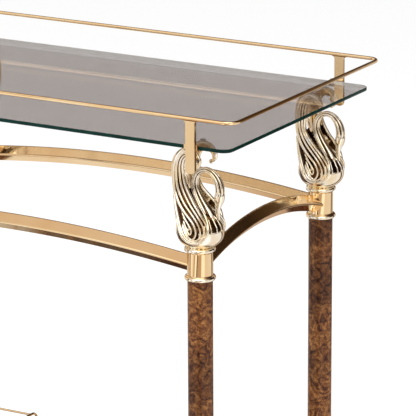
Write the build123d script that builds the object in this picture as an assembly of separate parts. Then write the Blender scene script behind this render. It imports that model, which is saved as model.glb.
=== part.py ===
from build123d import *
import os
from math import asin, degrees, sqrt

# A bar cart: two glass shelves on four columns, with a cast swan on top of each column,
# arched brass stretchers, a gallery rail round the top, a bottle rack below and four casters.
# Millimetres. The origin is on the floor under the middle of the cart, +X runs along the cart
# to its right end, -Y is the front and +Z is up.

# Plan of the legs
leg_spacing_x = 580.0
leg_spacing_y = 340.0
corners = {
    "front_left": (-1, -1),
    "front_right": (1, -1),
    "back_left": (-1, 1),
    "back_right": (1, 1),
}

# Top shelf
glass_top_height = 750.0
glass_length = 701.0
glass_width = 403.0
glass_thickness = 5.0
glass_corner_radius = 14.0
glass_arris = 0.5

# Gallery rail, its posts and the glass clips behind them
rail_length = 728.0
rail_width = 420.6
rail_bar = 5.0
rail_rise = 40.0
rail_corner_radius = 18.0
rail_edge_radius = 1.5
post_width = 14.0
post_offset = 8.7
post_drop = 36.0
post_flare = 4.3
post_end_radius = 5.0
post_pin_radius = 2.0
post_pin_depth = 3.0
post_pin_length = 9.0
clip_offset = 6.7
clip_width = 20.0
clip_thickness = 1.6
clip_above_glass = 2.4
clip_reach = 10.0

# Columns, collars and rings
column_radius = 17.0
collar_radius = 17.4
leg_bore_radius = 13.0
ring_height = 8.0
ring_bead_centre = 17.3
collar_height = 31.5
rod_radius = 4.0
rod_into_swan = 12.0
stack_foot_height = 62.0

# Stretchers: square bar set on edge
stretcher_side = 17.5
stretcher_edge_chamfer = 1.0
long_arch_rise = 19.5
long_arch_end_drop = 4.4
short_arch_rise = 30.3
short_arch_end_drop = 6.0

# Swans, heights counted from the swan's foot, sideways sizes from the leg axis
swan_height = 144.0
body_outline = [(18, 0), (26, 7), (30.5, 20), (26, 42), (14, 62), (5, 72)]
neck_radius = 4.2
neck_root = (14, 24)
neck_bend_start = (-7, 84)
neck_loop_radius = 18.5
neck_loop_turn = -203
neck_drop = 16.0
head_radius = 6.4
beak_length = 26.0
beak_root_radius = 5.0
beak_tip_radius = 1.6
wing_back = [(-12, 14), (-25, 34), (-30.5, 68), (-31, 98), (-22, 126), (-6, 138)]
wing_front = [(8, 133), (12, 122), (5, 112), (-7, 116), (-13, 104), (-11, 88), (0, 68), (10, 44), (4, 18)]
wing_thickness = 6.0
wing_foot_offset = 23.0
wing_tip_offset = 20.0
bumper_x = -6.0
bumper_radius = 4.0
bumper_height = 2.0
boss_radius = 5.0
boss_height = 121.0

# Lower shelf
shelf_overhang = 12.0
shelf_notch_radius = 26.0
shelf_glass_foot = 100.0
pad_radius = 6.0
pad_height = 8.0
pad_x = 190.0
pad_y = 90.0

# Bottle rack
rack_inner_x = -176.0
rack_depth = 88.0
rack_half_width = 145.0
rack_top_height = 196.0
rack_rod_radius = 1.9
rack_wire_radius = 1.6
rack_corner_radius = 12.0
rack_rail_inset = 18.0
rack_crossbar_height = 146.0
rack_foot_rail_height = 114.0

# Casters
tyre_radius = 25.0
tyre_width = 18.0
tyre_edge_radius = 4.0
rim_radius = 19.5
rim_thickness = 3.0
hub_radius = 8.0
hub_width = 19.6
web_width = 6.0
caster_trail = 20.0
axle_radius = 3.0
axle_head_radius = 5.0
axle_head_thickness = 1.6
fork_gap = 20.4
fork_cheek = 3.0
fork_plate_thickness = 4.0
fork_top_height = 58.0
fork_end_radius = 9.0
fork_nose = 15.0
stem_head_radius = 7.0
stem_head_thickness = 2.8
stem_flange_radius = 15.0
stem_plug_height = 20.0
face_clearance = 0.3
running_clearance = 0.05

# Heights of the leg stack, from the floor up
lower_collar_foot = stack_foot_height + ring_height
lower_collar_head = lower_collar_foot + collar_height
column_foot = lower_collar_head + ring_height
swan_foot = glass_top_height - swan_height
upper_collar_head = swan_foot - ring_height
upper_collar_foot = upper_collar_head - collar_height
column_head = upper_collar_foot - ring_height
lower_stretcher_height = (lower_collar_foot + lower_collar_head) / 2
upper_stretcher_height = (upper_collar_foot + upper_collar_head) / 2
glass_underside = glass_top_height - glass_thickness
rail_underside = glass_top_height + rail_rise - rail_bar
shelf_glass_head = shelf_glass_foot + glass_thickness

# The back of each gallery post, measured from its leg axis towards the outside of the cart
post_back_y = (leg_spacing_y - rail_width) / 2 + rail_bar


def disc(radius, bottom, top):
    """A plain cylinder on the Z axis."""
    return Pos(0, 0, bottom) * extrude(Circle(radius), top - bottom)


def tube(outer, inner, bottom, top):
    """A plain tube on the Z axis."""
    return Pos(0, 0, bottom) * extrude(Circle(outer) - Circle(inner), top - bottom)


def at_leg(shape, corner):
    """Take a shape made on the Z axis to one leg, with its +X and -Y sides facing outwards."""
    side_x, side_y = corners[corner]
    if side_x < 0:
        shape = shape.mirror(Plane.YZ)
    if side_y > 0:
        shape = shape.mirror(Plane.XZ)
    return Pos(side_x * leg_spacing_x / 2, side_y * leg_spacing_y / 2, 0) * shape


def group(shapes):
    """Separate solids that share one node."""
    return Compound(children=[solid for shape in shapes for solid in shape.solids()])


def at_every_leg(shape):
    return group([at_leg(shape, corner) for corner in corners])


def top_glass():
    plate = extrude(RectangleRounded(glass_length, glass_width, glass_corner_radius), glass_thickness)
    levels = plate.edges().group_by(Axis.Z)
    return Pos(0, 0, glass_underside) * chamfer(levels[0] + levels[-1], glass_arris)


def gallery_rail():
    """A closed loop of square bar with rounded corners, standing above the glass edge."""
    outside = RectangleRounded(rail_length, rail_width, rail_corner_radius)
    inside_length = rail_length - 2 * rail_bar
    inside_width = rail_width - 2 * rail_bar
    inside = RectangleRounded(inside_length, inside_width, rail_corner_radius - rail_bar)
    loop = extrude(outside - inside, rail_bar)
    levels = loop.edges().group_by(Axis.Z)
    return Pos(0, 0, rail_underside) * fillet(levels[0] + levels[-1], rail_edge_radius)


def post_pin():
    """The pin that joins the back of a post to the boss on the swan's outer wing."""
    start = post_back_y + post_pin_length - post_pin_depth
    pin = extrude(Plane.XZ * Circle(post_pin_radius), post_pin_length)
    return Pos(post_offset, start, swan_foot + boss_height) * pin


def gallery_post():
    """A flat bar that flares under the rail, standing just outside the glass edge."""
    half = post_width / 2
    foot = glass_top_height - post_drop
    height = rail_underside - foot
    face = Rectangle(post_width, height, align=(Align.CENTER, Align.MIN))
    face = fillet(face.vertices().group_by(Axis.Y)[0], post_end_radius)
    for side in (-1, 1):
        corner = Pos(side * (half + post_flare / 2), height - post_flare / 2)
        hollow = Pos(side * (half + post_flare), height - post_flare)
        face += corner * Rectangle(post_flare, post_flare) - hollow * Circle(post_flare)
    bar = Pos(post_offset, post_back_y, foot) * extrude(Plane.XZ * face, rail_bar)
    return bar - post_pin()


def glass_clip():
    """An angle behind the post: a shelf under the glass edge and a lip outside it."""
    lip_thickness = (rail_width - glass_width) / 2 - rail_bar
    lip_height = glass_thickness + clip_thickness + clip_above_glass
    low_corner = (Align.CENTER, Align.MIN, Align.MIN)
    lip = Box(clip_width, lip_thickness, lip_height, align=low_corner)
    shelf = Box(clip_width, clip_reach, clip_thickness, align=low_corner)
    return Pos(clip_offset, post_back_y, glass_underside - clip_thickness) * (lip + shelf)


def swan_body():
    """A bulb on a flat foot, swelling to the breast and closing towards the wings."""
    flank = Spline(*body_outline)
    crown = Line(flank @ 1, (0, body_outline[-1][1]))
    axis_line = Line(crown @ 1, (0, 0))
    foot = Line((0, 0), flank @ 0)
    return revolve(Plane.XZ * make_face([flank, crown, axis_line, foot]), Axis.Z)


def swan_neck():
    """A round neck that rises from the breast, loops forward and hangs, with head and beak."""
    rise = Line(neck_root, neck_bend_start)
    loop = JernArc(neck_bend_start, rise % 1, neck_loop_radius, neck_loop_turn)
    drop = Line(loop @ 1, loop @ 1 + (loop % 1) * neck_drop)
    path = Plane.XZ * Wire([rise.edge(), loop.edge(), drop.edge()])
    neck = sweep(Plane(origin=path @ 0, z_dir=path % 0) * Circle(neck_radius), path)
    head = Pos(path @ 1) * Sphere(head_radius)
    beak_centre = path @ 1 + (path % 1) * beak_length / 2
    beak = Cone(beak_root_radius, beak_tip_radius, beak_length)
    return neck + head + Plane(origin=beak_centre, z_dir=path % 1) * beak


def swan_wing(side):
    """One upright wing whose top curls forward, leaning in from the body's flank to the glass."""
    back = Spline(*wing_back, *wing_front[:1])
    front = Spline(*wing_front)
    foot = Line(front @ 1, back @ 0)
    blade = extrude(Plane.XZ * make_face([back, front, foot]), wing_thickness / 2, both=True)
    lean = degrees(asin((wing_foot_offset - wing_tip_offset) / swan_height))
    return Pos(0, side * wing_foot_offset, 0) * Rot(side * lean, 0, 0) * blade


def swan_boss():
    """The lug on the outer wing's curl that the gallery post is pinned to."""
    reach = -post_back_y - wing_tip_offset + wing_thickness / 2
    lug = extrude(Plane.XZ * Circle(boss_radius), reach)
    return Pos(post_offset, post_back_y + reach, boss_height) * lug


def swan():
    """One cast swan facing +X, its outer side towards -Y, on the leg axis."""
    cast = swan_body() + swan_neck() + swan_wing(-1) + swan_wing(1) + swan_boss()
    ceiling = swan_height - glass_thickness - bumper_height
    above = Pos(0, 0, ceiling) * extrude(Circle(swan_height), swan_height)
    below = Pos(0, 0, -swan_height) * extrude(Circle(swan_height), swan_height)
    cast = Pos(0, 0, swan_foot) * (cast - above - below)
    rod_hole = disc(rod_radius, swan_foot, swan_foot + rod_into_swan)
    clip_room = glass_clip()
    return cast - rod_hole - post_pin() - clip_room


def glass_bumpers():
    """Soft discs between the wing tips and the glass."""
    pair = []
    for side in (-1, 1):
        puck = disc(bumper_radius, glass_underside - bumper_height, glass_underside)
        pair.append(Pos(bumper_x, side * wing_tip_offset, 0) * puck)
    return at_every_leg(group(pair))


def ring(bottom):
    """A turned ring with a half-round bead outside."""
    core = tube(ring_bead_centre, leg_bore_radius, bottom, bottom + ring_height)
    bead = Pos(ring_bead_centre, ring_height / 2) * Circle(ring_height / 2)
    bead = revolve(Plane.XZ * bead, Axis.Z)
    return core + Pos(0, 0, bottom) * bead - disc(leg_bore_radius, bottom, bottom + ring_height)


def collar_rings():
    bottoms = (stack_foot_height, lower_collar_head, column_head, upper_collar_head)
    return at_every_leg(group([ring(bottom) for bottom in bottoms]))


def collar(bottom):
    return tube(collar_radius, leg_bore_radius, bottom, bottom + collar_height)


def column():
    return tube(column_radius, leg_bore_radius, column_foot, column_head)


def tie_rod():
    """The threaded rod that clamps the leg stack between the caster plug and the swan."""
    return disc(rod_radius, stack_foot_height + stem_plug_height, swan_foot + rod_into_swan)


def collar_pair(span, collar_foot):
    """The two collars a stretcher runs between, as solid cylinders to cope its ends with."""
    post = disc(collar_radius, collar_foot - collar_height, collar_foot + 2 * collar_height)
    return Pos(-span / 2, 0, 0) * post + Pos(span / 2, 0, 0) * post


def bar_section():
    """A square standing on one corner, its edges broken."""
    square = Rectangle(stretcher_side, stretcher_side)
    return Rot(0, 0, 45) * chamfer(square.vertices(), stretcher_edge_chamfer)


def arched_stretcher(span, rise, end_drop):
    """A circular arch along X between two collars, its ends end_drop below their middle."""
    arch_radius = (span**2 / 4 + rise**2) / (2 * rise)
    spread = 2 * degrees(asin(span / 2 / arch_radius))
    section = Plane.XZ * (Pos(arch_radius, 0) * bar_section())
    hoop = Rot(0, 0, -spread / 2) * revolve(section, Axis.Z, spread)
    upright = Rot(90, 0, 0) * Rot(0, 0, 90) * hoop
    drop = sqrt(arch_radius**2 - span**2 / 4)
    bar = Pos(0, 0, upper_stretcher_height - end_drop - drop) * upright
    return bar - collar_pair(span, upper_collar_foot)


def straight_stretcher(span):
    bar = extrude(Plane.YZ * bar_section(), span / 2, both=True)
    return Pos(0, 0, lower_stretcher_height) * bar - collar_pair(span, lower_collar_foot)


def along_side(bar, side):
    return Pos(0, side * leg_spacing_y / 2, 0) * bar


def along_end(bar, side):
    return Pos(side * leg_spacing_x / 2, 0, 0) * Rot(0, 0, 90) * bar


def lower_glass():
    """The lower shelf, with a round notch at each leg."""
    length = leg_spacing_x + 2 * shelf_overhang
    width = leg_spacing_y + 2 * shelf_overhang
    plan = Rectangle(length, width)
    for side_x, side_y in corners.values():
        leg = Pos(side_x * leg_spacing_x / 2, side_y * leg_spacing_y / 2)
        plan -= leg * Circle(shelf_notch_radius)
    plate = extrude(plan, glass_thickness)
    levels = plate.edges().group_by(Axis.Z)
    return Pos(0, 0, shelf_glass_foot) * chamfer(levels[0] + levels[-1], glass_arris)


def shelf_pads():
    """Short saddles that sit on the ridges of the lower stretchers under the glass."""
    saddle = disc(pad_radius, shelf_glass_foot - pad_height, shelf_glass_foot)
    pads = []
    for side in (-1, 1):
        for place in (-1, 1):
            pads.append(Pos(place * pad_x, side * leg_spacing_y / 2, 0) * saddle)
            pads.append(Pos(side * leg_spacing_x / 2, place * pad_y, 0) * saddle)
    bars = [along_side(straight_stretcher(leg_spacing_x), side) for side in (-1, 1)]
    bars += [along_end(straight_stretcher(leg_spacing_y), side) for side in (-1, 1)]
    seated = []
    for pad in pads:
        for bar in bars:
            pad = pad - bar
        seated.append(pad)
    return group(seated)


def rack_frame(place_x):
    """A wire hoop across the cart, standing on the lower glass."""
    reach = rack_half_width - rack_rod_radius
    crown = rack_top_height - rack_rod_radius
    corner_points = [
        (-reach, shelf_glass_head),
        (-reach, crown),
        (reach, crown),
        (reach, shelf_glass_head),
    ]
    path = Plane.YZ * FilletPolyline(*corner_points, radius=rack_corner_radius)
    start = Plane(origin=path @ 0, z_dir=path % 0)
    return Pos(place_x, 0, 0) * sweep(start * Circle(rack_rod_radius), path)


def rack_frame_places():
    return (rack_inner_x - rack_rod_radius, rack_inner_x - rack_depth + rack_rod_radius)


def rack_rod_along_x(place_y, height):
    """A thinner wire between the two hoops, its ends shaped to the rods it meets."""
    inner, outer = rack_frame_places()
    rod = extrude(Plane.YZ * Circle(rack_wire_radius), inner - outer)
    rod = Pos(outer, place_y, height) * rod
    return rod - rack_frame(inner) - rack_frame(outer)


def rack_rails():
    """The rails at the top and foot of the hoops."""
    top = rack_top_height - rack_rod_radius
    wires = []
    for side in (-1, 1):
        wires.append(rack_rod_along_x(side * (rack_half_width - rack_rail_inset), top))
        foot_y = side * (rack_half_width - rack_rod_radius)
        wires.append(rack_rod_along_x(foot_y, rack_foot_rail_height))
    return group(wires)


def rack_dividers():
    """The two wires that part the rack into three bottle cells."""
    place = (rack_half_width - rack_rail_inset) / 3
    top = rack_top_height - rack_rod_radius
    return group([rack_rod_along_x(side * place, top) for side in (-1, 1)])


def rack_crossbars():
    """The wires half way up each hoop that keep a bottle from slipping under."""
    reach = rack_half_width - rack_rod_radius
    wires = []
    for place_x in rack_frame_places():
        rod = extrude(Plane.XZ * Circle(rack_wire_radius), reach, both=True)
        wires.append(Pos(place_x, 0, rack_crossbar_height) * rod - rack_frame(place_x))
    return group(wires)


def caster_stem():
    """The fixed pivot under a leg: plug, flange, pin and the head that holds the fork."""
    plate_foot = fork_top_height - fork_plate_thickness
    head_top = plate_foot - face_clearance
    plug = disc(leg_bore_radius, stack_foot_height, stack_foot_height + stem_plug_height)
    flange = disc(stem_flange_radius, fork_top_height + face_clearance, stack_foot_height)
    pin = disc(rod_radius, head_top, stack_foot_height)
    head = disc(stem_head_radius, head_top - stem_head_thickness, head_top)
    return plug + flange + pin + head


def caster_fork():
    """Two cheeks under a round-nosed plate, trailing towards +X from the pivot."""
    eye = Pos(caster_trail, tyre_radius) * Circle(fork_end_radius)
    brow = Pos(caster_trail / 2, fork_top_height - fork_plate_thickness / 2)
    brow = brow * Rectangle(caster_trail + 2 * fork_nose, fork_plate_thickness)
    cheek = make_hull(eye.edges() + brow.edges())
    width = fork_gap + 2 * fork_cheek
    block = extrude(Plane.XZ * cheek, width / 2, both=True)
    gap_height = fork_top_height - fork_plate_thickness
    gap = Pos(0, 0, gap_height / 2) * Box(4 * fork_nose + 2 * caster_trail, fork_gap, gap_height)
    pin_hole = disc(rod_radius + running_clearance, 0, fork_top_height)
    axle_hole = extrude(Plane.XZ * Circle(axle_radius), width, both=True)
    return block - gap - pin_hole - Pos(caster_trail, 0, tyre_radius) * axle_hole


def at_axle(shape):
    """Turn a wheel part made on the Z axis onto the axle."""
    return Pos(caster_trail, 0, tyre_radius) * Rot(90, 0, 0) * shape


def caster_axle():
    """A riveted pin through both cheeks."""
    half = fork_gap / 2 + fork_cheek
    pin = disc(axle_radius, -half, half)
    for side in (-1, 1):
        inner = side * half
        outer = side * (half + axle_head_thickness)
        pin = pin + disc(axle_head_radius, min(inner, outer), max(inner, outer))
    return at_axle(pin)


def caster_wheel():
    """Hub, web and rim in one turned piece."""
    bore = axle_radius + running_clearance
    hub = tube(hub_radius, bore, -hub_width / 2, hub_width / 2)
    web = tube(rim_radius - rim_thickness / 2, bore, -web_width / 2, web_width / 2)
    rim = tube(rim_radius, rim_radius - rim_thickness, -tyre_width / 2, tyre_width / 2)
    return at_axle(hub + web + rim)


def caster_tyre():
    band = tube(tyre_radius, rim_radius, -tyre_width / 2, tyre_width / 2)
    shoulders = band.edges().filter_by(GeomType.CIRCLE).sort_by(SortBy.LENGTH)[-2:]
    return at_axle(fillet(shoulders, tyre_edge_radius))


def parts():
    """Every node of the cart, by name."""
    made = {
        "top_glass": top_glass(),
        "gallery_rail": gallery_rail(),
        "post_pins": at_every_leg(post_pin()),
        "glass_clips": at_every_leg(glass_clip()),
        "glass_bumpers": glass_bumpers(),
        "collar_rings": collar_rings(),
        "tie_rods": at_every_leg(tie_rod()),
        "shelf_pads": shelf_pads(),
        "lower_glass": lower_glass(),
        "rack_rails": rack_rails(),
        "rack_dividers": rack_dividers(),
        "rack_crossbars": rack_crossbars(),
        "caster_stems": at_every_leg(caster_stem()),
    }
    inner, outer = rack_frame_places()
    made["rack_frame_inner"] = rack_frame(inner)
    made["rack_frame_outer"] = rack_frame(outer)
    long_arch = arched_stretcher(leg_spacing_x, long_arch_rise, long_arch_end_drop)
    for name, side in (("front", -1), ("back", 1)):
        made[f"upper_stretcher_{name}"] = along_side(long_arch, side)
        made[f"lower_stretcher_{name}"] = along_side(straight_stretcher(leg_spacing_x), side)
    short_arch = arched_stretcher(leg_spacing_y, short_arch_rise, short_arch_end_drop)
    for name, side in (("left", -1), ("right", 1)):
        made[f"upper_stretcher_{name}"] = along_end(short_arch, side)
        made[f"lower_stretcher_{name}"] = along_end(straight_stretcher(leg_spacing_y), side)
    at_legs = {
        "swan": swan(),
        "gallery_post": gallery_post(),
        "upper_collar": collar(upper_collar_foot),
        "lower_collar": collar(lower_collar_foot),
        "column": column(),
    }
    # The casters all trail towards the left end, as they do when the cart is pushed to the right.
    casters = {
        "caster_fork": caster_fork(),
        "caster_axle": caster_axle(),
        "caster_wheel": caster_wheel(),
        "caster_tyre": caster_tyre(),
    }
    for corner, (side_x, side_y) in corners.items():
        for name, shape in at_legs.items():
            made[f"{name}_{corner}"] = at_leg(shape, corner)
        leg = Pos(side_x * leg_spacing_x / 2, side_y * leg_spacing_y / 2, 0)
        for name, shape in casters.items():
            made[f"{name}_{corner}"] = leg * Rot(0, 0, 180) * shape
    return made


os.makedirs("parts", exist_ok=True)
for node, shape in parts().items():
    export_step(shape, f"parts/{node}.step")
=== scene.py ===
import bmesh
import bpy
from math import asin, atan2, cos, pi, radians, sin, sqrt
import numpy as np
from mathutils import Matrix, Vector


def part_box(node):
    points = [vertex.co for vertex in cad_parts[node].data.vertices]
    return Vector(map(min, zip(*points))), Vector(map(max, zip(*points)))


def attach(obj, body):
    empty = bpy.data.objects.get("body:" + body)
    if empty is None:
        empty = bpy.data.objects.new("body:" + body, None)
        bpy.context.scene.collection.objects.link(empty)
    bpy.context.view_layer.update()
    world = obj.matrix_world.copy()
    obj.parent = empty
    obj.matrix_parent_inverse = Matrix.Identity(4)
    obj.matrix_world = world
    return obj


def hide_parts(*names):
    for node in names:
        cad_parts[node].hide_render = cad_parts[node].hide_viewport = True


# The looks of the bar cart: polished brass, cast swans, burl columns, smoked glass and casters.
# Metres, in the CAD model's frame: +X along the cart to its right end, -Y the front, +Z up.

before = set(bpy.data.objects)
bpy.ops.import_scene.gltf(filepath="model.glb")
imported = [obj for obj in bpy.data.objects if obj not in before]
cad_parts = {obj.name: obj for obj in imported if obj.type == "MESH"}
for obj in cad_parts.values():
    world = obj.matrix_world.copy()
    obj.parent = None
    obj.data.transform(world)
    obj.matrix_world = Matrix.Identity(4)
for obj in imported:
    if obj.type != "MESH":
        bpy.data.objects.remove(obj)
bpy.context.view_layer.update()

MM = 0.001
CORNERS = {
    "front_left": (-1, -1),
    "front_right": (1, -1),
    "back_left": (-1, 1),
    "back_right": (1, 1),
}


def box_centre(node):
    low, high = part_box(node)
    return (low + high) / 2


# ---- materials


def new_material(name):
    material = bpy.data.materials.new(name)
    material.use_nodes = True
    tree = material.node_tree
    shader = tree.nodes["Principled BSDF"]
    return material, tree, shader


def set_inputs(node, sockets):
    """Sets a node's inputs by socket name, with _ for a space."""
    for name, value in sockets.items():
        node.inputs[name.replace("_", " ")].default_value = value


def add(tree, kind, **sockets):
    """A node with some of its inputs set."""
    node = tree.nodes.new(kind)
    set_inputs(node, sockets)
    return node


def place(tree):
    """The object's own coordinates, which are the cart's, in metres."""
    return tree.nodes.new("ShaderNodeTexCoord").outputs["Object"]


def noise(tree, scale, detail=3.0, roughness=0.5, distortion=0.0):
    node = add(tree, "ShaderNodeTexNoise", Scale=scale, Detail=detail, Roughness=roughness,
               Distortion=distortion)
    tree.links.new(place(tree), node.inputs["Vector"])
    return node.outputs["Fac"]


def ramp(tree, source, stops):
    """A colour ramp: stops are (place, colour) pairs."""
    node = tree.nodes.new("ShaderNodeValToRGB")
    elements = node.color_ramp.elements
    while len(elements) < len(stops):
        elements.new(0.5)
    for element, (at, colour) in zip(elements, stops):
        element.position = at
        element.color = (*colour, 1.0)
    tree.links.new(source, node.inputs["Fac"])
    return node.outputs["Color"]


def spread(tree, source, low, high):
    """Maps a 0..1 value to low..high."""
    node = add(tree, "ShaderNodeMapRange", To_Min=low, To_Max=high)
    tree.links.new(source, node.inputs["Value"])
    return node.outputs["Result"]


def bump(tree, shader, height, strength, distance):
    node = add(tree, "ShaderNodeBump", Strength=strength, Distance=distance)
    tree.links.new(height, node.inputs["Height"])
    tree.links.new(node.outputs["Normal"], shader.inputs["Normal"])


def dress(tree, shader, colour, gloss, rough, **sockets):
    """Links the colour, and a roughness between the two of rough that follows gloss; sets the rest."""
    tree.links.new(colour, shader.inputs["Base Color"])
    tree.links.new(spread(tree, gloss, *rough), shader.inputs["Roughness"])
    set_inputs(shader, sockets)


def radial(tree, vector):
    """How far round the Z axis a point or direction lies, 0 to 1."""
    node = tree.nodes.new("ShaderNodeTexGradient")
    node.gradient_type = "RADIAL"
    tree.links.new(vector, node.inputs["Vector"])
    return node.outputs["Fac"]


def mix_colours(tree, factor, first, second, how="MIX"):
    """The first colour giving way to the second by the factor; each is a socket or a value."""
    node = tree.nodes.new("ShaderNodeMix")
    node.data_type = "RGBA"
    node.blend_type = how
    for name, value in (("Factor", factor), ("A", first), ("B", second)):
        if isinstance(value, bpy.types.NodeSocket):
            tree.links.new(value, node.inputs[name])
        else:
            node.inputs[name].default_value = value
    return node.outputs["Result"]


def gold(name, pale, deep, rough, wave, patches=14.0):
    """Polished plated metal: a slight drift of colour, wiping marks in the gloss, a faint waviness."""
    material, tree, shader = new_material(name)
    colour = ramp(tree, noise(tree, patches), [(0.35, deep), (0.65, pale)])
    marks = noise(tree, 160.0, detail=6.0, roughness=0.65, distortion=0.6)
    dress(tree, shader, colour, marks, rough, Metallic=1.0)
    bump(tree, shader, noise(tree, 70.0, detail=2.0), wave, 0.001)
    return material


def burl_veneer():
    """Lacquered burl: dark brown ground, golden swirls and fine dark eyes under a clear coat."""
    material, tree, shader = new_material("burl_veneer")
    swirl = noise(tree, 62.0, detail=8.0, roughness=0.66, distortion=2.2)
    ground = ramp(
        tree,
        swirl,
        [
            (0.34, (0.026, 0.008, 0.004)),
            (0.44, (0.125, 0.038, 0.011)),
            (0.53, (0.250, 0.095, 0.026)),
            (0.66, (0.430, 0.205, 0.062)),
        ],
    )
    patches = noise(tree, 11.0, detail=2.0, distortion=0.8)
    shade = ramp(tree, patches, [(0.38, (0.36, 0.30, 0.30)), (0.62, (1.0, 1.0, 1.0))])
    eyes = noise(tree, 210.0, detail=4.0, roughness=0.7, distortion=1.2)
    specks = ramp(tree, eyes, [(0.40, (0.30, 0.24, 0.22)), (0.55, (1.0, 1.0, 1.0))])
    veiled = mix_colours(tree, 0.85, ground, shade, "MULTIPLY")
    dress(tree, shader, mix_colours(tree, 0.7, veiled, specks, "MULTIPLY"), swirl, (0.30, 0.45),
          Specular_IOR_Level=0.1, Coat_Weight=0.3, Coat_Roughness=0.06)
    bump(tree, shader, eyes, 0.03, 0.0005)
    return material


def smoked_glass():
    """Tinted sheet glass, seen through by its alpha, with faint wiping marks."""
    material, tree, shader = new_material("smoked_glass")
    haze = noise(tree, 9.0, detail=4.0, roughness=0.6)
    tint = ramp(tree, haze, [(0.3, (0.045, 0.008, 0.002)), (0.7, (0.060, 0.014, 0.006))])
    dress(tree, shader, tint, haze, (0.003, 0.012),
          IOR=2.9, Coat_Weight=1.0, Coat_IOR=2.0, Coat_Roughness=0.004, Alpha=0.46)
    return material


def glass_edge():
    """The polished edge, where the tint is seen through the length of the sheet."""
    material, tree, shader = new_material("glass_edge")
    depth = noise(tree, 40.0, detail=3.0)
    tint = ramp(tree, depth, [(0.3, (0.001, 0.014, 0.011)), (0.7, (0.003, 0.028, 0.022))])
    dress(tree, shader, tint, depth, (0.05, 0.12), Specular_IOR_Level=0.12)
    return material


def edge_painted_light():
    """The inner side of the edge, bright with painted light for the light that the real edge passes on.
    """
    material, tree, shader = new_material("glass_edge_painted_light")
    depth = noise(tree, 40.0, detail=3.0)
    tint = ramp(tree, depth, [(0.3, (0.84, 0.86, 0.85)), (0.7, (0.93, 0.94, 0.93))])
    dress(tree, shader, tint, depth, (0.5, 0.7), Specular_IOR_Level=0.1)
    return material


def rubber(name, dark, light, rough):
    material, tree, shader = new_material(name)
    grain = noise(tree, 400.0, detail=4.0)
    colour = ramp(tree, grain, [(0.3, dark), (0.7, light)])
    dress(tree, shader, colour, grain, (rough - 0.08, rough + 0.08))
    bump(tree, shader, grain, 0.15, 0.0003)
    return material


def plated_steel():
    material, tree, shader = new_material("plated_steel")
    brushed = noise(tree, 300.0, detail=4.0)
    colour = ramp(tree, brushed, [(0.3, (0.50, 0.50, 0.52)), (0.7, (0.66, 0.66, 0.68))])
    dress(tree, shader, colour, brushed, (0.22, 0.38), Metallic=1.0)
    return material


BRASS = gold("polished_brass", (0.92, 0.71, 0.43), (0.87, 0.62, 0.34), (0.05, 0.13), 0.03)
CAST = gold("cast_gold", (0.98, 0.93, 0.83), (0.93, 0.79, 0.55), (0.04, 0.10), 0.05, 55.0)
# Near-black gold for the swans' valleys, hollows and covered parts: painted shade.
PAINTED_SHADE_GOLD = gold("painted_shade_gold", (0.13, 0.062, 0.022), (0.010, 0.006, 0.004), (0.16, 0.32), 0.10, 60.0)
BURL = burl_veneer()
GLASS = smoked_glass()
EDGE = glass_edge()
PAINTED_LIGHT_LINING = edge_painted_light()
TYRE = rubber("tyre_rubber", (0.012, 0.012, 0.013), (0.030, 0.030, 0.031), 0.55)
PAD = rubber("clear_pad", (0.40, 0.40, 0.38), (0.52, 0.52, 0.50), 0.25)
STEEL = plated_steel()


# ---- mesh making


def show(name, shape, materials, replaces, sharp=40.0, body="frame"):
    """A mesh piece in the cart's frame, smooth but for its sharp edges, shown for the CAD's nodes."""
    mesh = bpy.data.meshes.new(name)
    mesh.from_pydata([tuple(v) for v in shape.vertices], [], shape.faces)
    for material in materials:
        mesh.materials.append(material)
    if shape.kinds:
        mesh.polygons.foreach_set("material_index", shape.kinds)
    tidy = bmesh.new()
    tidy.from_mesh(mesh)
    bmesh.ops.remove_doubles(tidy, verts=tidy.verts, dist=1e-7)
    bmesh.ops.recalc_face_normals(tidy, faces=tidy.faces)
    tidy.to_mesh(mesh)
    tidy.free()
    mesh.shade_smooth()
    mesh.set_sharp_from_angle(angle=radians(sharp))
    piece = bpy.data.objects.new(name, mesh)
    bpy.context.scene.collection.objects.link(piece)
    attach(piece, body)
    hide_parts(*replaces)


class Shape:
    """Vertices and faces gathered before they become a piece."""

    def __init__(self):
        self.vertices = []
        self.faces = []
        self.kinds = []

    def join(self, other, matrix=Matrix.Identity(4)):
        """Adds another shape's faces, and which of the piece's materials each one has."""
        base = len(self.vertices)
        flipped = matrix.determinant() < 0
        self.vertices += [matrix @ Vector(v) for v in other.vertices]
        for face in other.faces:
            loop = [base + i for i in face]
            self.faces.append(loop[::-1] if flipped else loop)
        self.kinds += other.kinds or [0] * len(other.faces)
        return self


def grid_faces(rows, columns, closed_rows=False):
    """Quads between rows of points whose columns close on themselves."""
    faces = []
    row_count = rows if closed_rows else rows - 1
    for i in range(row_count):
        for j in range(columns):
            a = i * columns + j
            b = i * columns + (j + 1) % columns
            c = ((i + 1) % rows) * columns + (j + 1) % columns
            d = ((i + 1) % rows) * columns + j
            faces.append([a, b, c, d])
    return faces


def end_faces(rows, columns):
    """The faces that close the first and the last row of a grid."""
    return [list(range(columns)), [(rows - 1) * columns + j for j in range(columns)]]


def oval(wide, deep, sides):
    """Points round an ellipse, from its half-width and half-depth."""
    turns = [2 * pi * j / sides for j in range(sides)]
    return [(wide * cos(turn), deep * sin(turn)) for turn in turns]


def arc(centre, radius, start, turn_by, steps):
    """Points along a circular arc that starts in the direction start and turns by turn_by."""
    turns = [start + turn_by * k / steps for k in range(steps + 1)]
    return [(centre[0] + radius * cos(turn), centre[1] + radius * sin(turn)) for turn in turns]


def turned_rows(profile, steps):
    """(radius, height) points turned about the Z axis, one row of points for each."""
    return [(x, y, height) for radius, height in profile for x, y in oval(radius, radius, steps)]


def lathe(profile, steps):
    """Turns (radius, height) points about the Z axis; ends off the axis are closed flat."""
    shape = Shape()
    shape.vertices = turned_rows(profile, steps)
    shape.faces = grid_faces(len(profile), steps) + end_faces(len(profile), steps)
    return shape


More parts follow.
